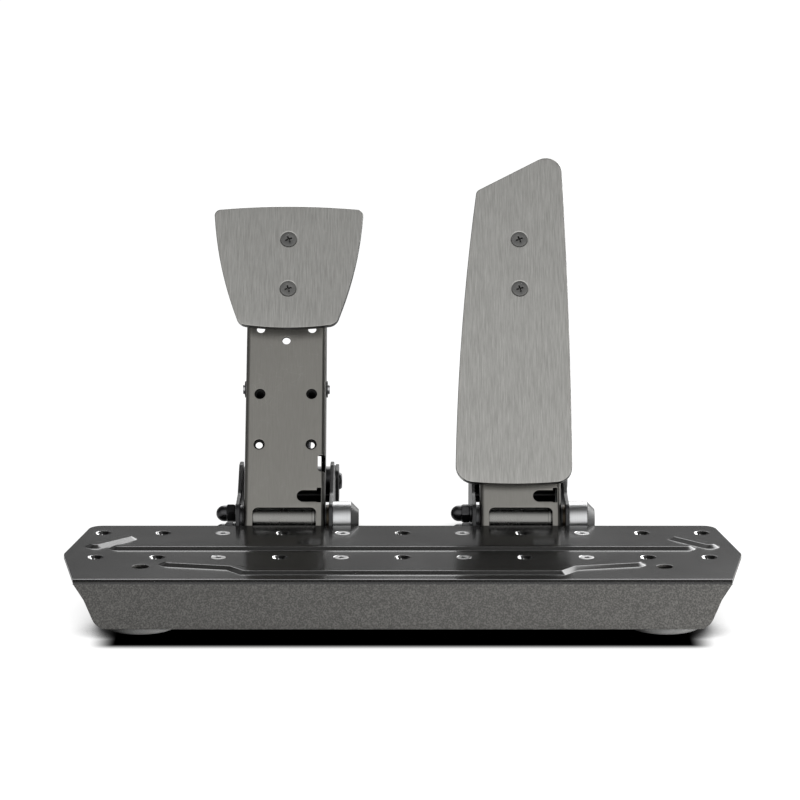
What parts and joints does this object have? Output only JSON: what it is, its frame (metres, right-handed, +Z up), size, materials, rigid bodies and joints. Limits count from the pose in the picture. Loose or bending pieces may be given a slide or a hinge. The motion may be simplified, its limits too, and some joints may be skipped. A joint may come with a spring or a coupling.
{
  "type": "sim racing pedal set",
  "caption": "Floor pedal set for racing simulators: folded heel plate, brake with a wide pad, long throttle pad, arms on spring struts with angle sensors.",
  "frame": {"origin": "middle of the bounding box's base, on the floor", "axes": "+X from the brake to the throttle, +Y from the driver to the back, +Z up"},
  "size_m": [0.3876, 0.2634, 0.234],
  "materials": {
    "dark_sheet": "satin dark grey powder coat with a fine grain",
    "arm_sheet": "satin warm grey coat",
    "bracket_sheet": "satin black powder coat",
    "brushed_pad": "brushed along the pedal",
    "bright_housing": "satin, turned",
    "dark_cap": "matte with a bevelled rim",
    "bright_steel": "ground",
    "turned_steel": "turned and grey coated",
    "black_fastener": "black oxide",
    "bronze": "sintered",
    "spring_steel": "dark, oiled",
    "rubber": "matte",
    "elastomer": "matte",
    "white_plastic": "low friction",
    "black_plastic": "fine texture",
    "circuit_board": "solder mask"
  },
  "bodies": {
    "base": {"heel_plate": "dark_sheet", "heel_screws": "bright_steel", "heel_nuts": "bright_steel", "foot_posts": "turned_steel", "front_feet": "rubber", "rear_feet": "rubber", "control_case": "black_plastic", "control_lid": "black_plastic", "control_board": "circuit_board", "control_screws": "black_fastener", "brake_bracket": "bracket_sheet", "throttle_bracket": "bracket_sheet", "bearing_flanges": "turned_steel", "pivot_bushes": "bronze", "dome_nuts": "black_fastener", "flange_washers": "black_fastener", "lug_plates": "bracket_sheet", "trunnion_bolts": "black_fastener", "stop_bars": "turned_steel", "rest_bumpers": "rubber", "stop_screws": "black_fastener", "sensor_housings": "bright_housing", "sensor_caps": "dark_cap", "sensor_boards": "circuit_board", "sensor_screws": "black_fastener"},
    "brake_arm": {"brake_arm": "arm_sheet", "brake_sleeve": "turned_steel", "brake_axle": "bright_steel", "brake_magnet": "bright_steel", "brake_thrust_washers": "white_plastic", "brake_cross_pin": "bright_steel", "brake_pin_spacers": "black_plastic", "brake_clips": "black_fastener", "brake_pad_mount": "turned_steel", "brake_mount_bolts": "black_fastener", "brake_pad": "brushed_pad", "brake_pad_screws": "black_fastener"},
    "brake_tube": {"brake_guide_tube": "turned_steel", "brake_stop_ring": "elastomer", "brake_spring": "spring_steel"},
    "brake_rod": {"brake_rod": "bright_steel", "brake_preload_nut": "turned_steel"},
    "throttle_arm": {"throttle_arm": "arm_sheet", "throttle_sleeve": "turned_steel", "throttle_axle": "bright_steel", "throttle_magnet": "bright_steel", "throttle_thrust_washers": "white_plastic", "throttle_cross_pin": "bright_steel", "throttle_pin_spacers": "black_plastic", "throttle_clips": "black_fastener", "throttle_pad_mount": "turned_steel", "throttle_mount_bolts": "black_fastener", "throttle_pad": "brushed_pad", "throttle_pad_screws": "black_fastener"},
    "throttle_tube": {"throttle_guide_tube": "turned_steel", "throttle_stop_ring": "elastomer", "throttle_spring": "spring_steel"},
    "throttle_rod": {"throttle_rod": "bright_steel", "throttle_preload_nut": "turned_steel"}
  },
  "joints": [
    {"name": "brake_press", "type": "hinge", "parent": "base", "child": "brake_arm", "pos_m": [-0.07, 0.008, 0.0333], "axis": [-1, 0, 0], "range_deg": [0, 10], "stiffness_Nm_per_rad": 120, "springref_deg": -4.98},
    {"name": "brake_strut_swing", "type": "hinge", "parent": "base", "child": "brake_tube", "pos_m": [-0.07, 0.1087, 0.0326], "axis": [-1, 0, 0], "range_deg": [0, 2.8]},
    {"name": "brake_strut_slide", "type": "slide", "parent": "brake_tube", "child": "brake_rod", "axis": [0, -0.5962, 0.8029], "range_m": [-0.0145, 0], "deforming": ["brake_spring"]},
    {"name": "throttle_press", "type": "hinge", "parent": "base", "child": "throttle_arm", "pos_m": [0.07, 0.008, 0.0333], "axis": [-1, 0, 0], "range_deg": [0, 15], "stiffness_Nm_per_rad": 8, "springref_deg": -20.05},
    {"name": "throttle_strut_swing", "type": "hinge", "parent": "base", "child": "throttle_tube", "pos_m": [0.07, 0.1087, 0.0326], "axis": [-1, 0, 0], "range_deg": [0, 3.8]},
    {"name": "throttle_strut_slide", "type": "slide", "parent": "throttle_tube", "child": "throttle_rod", "axis": [0, -0.5962, 0.8029], "range_m": [-0.0217, 0], "deforming": ["throttle_spring"]}
  ],
  "couplings": [
    {"joint": "brake_strut_swing", "follows": "brake_press", "ratio": 0.2682},
    {"joint": "brake_strut_slide", "follows": "brake_press", "m_per_rad": -0.08165},
    {"joint": "throttle_strut_swing", "follows": "throttle_press", "ratio": 0.2475},
    {"joint": "throttle_strut_slide", "follows": "throttle_press", "m_per_rad": -0.08203}
  ]
}
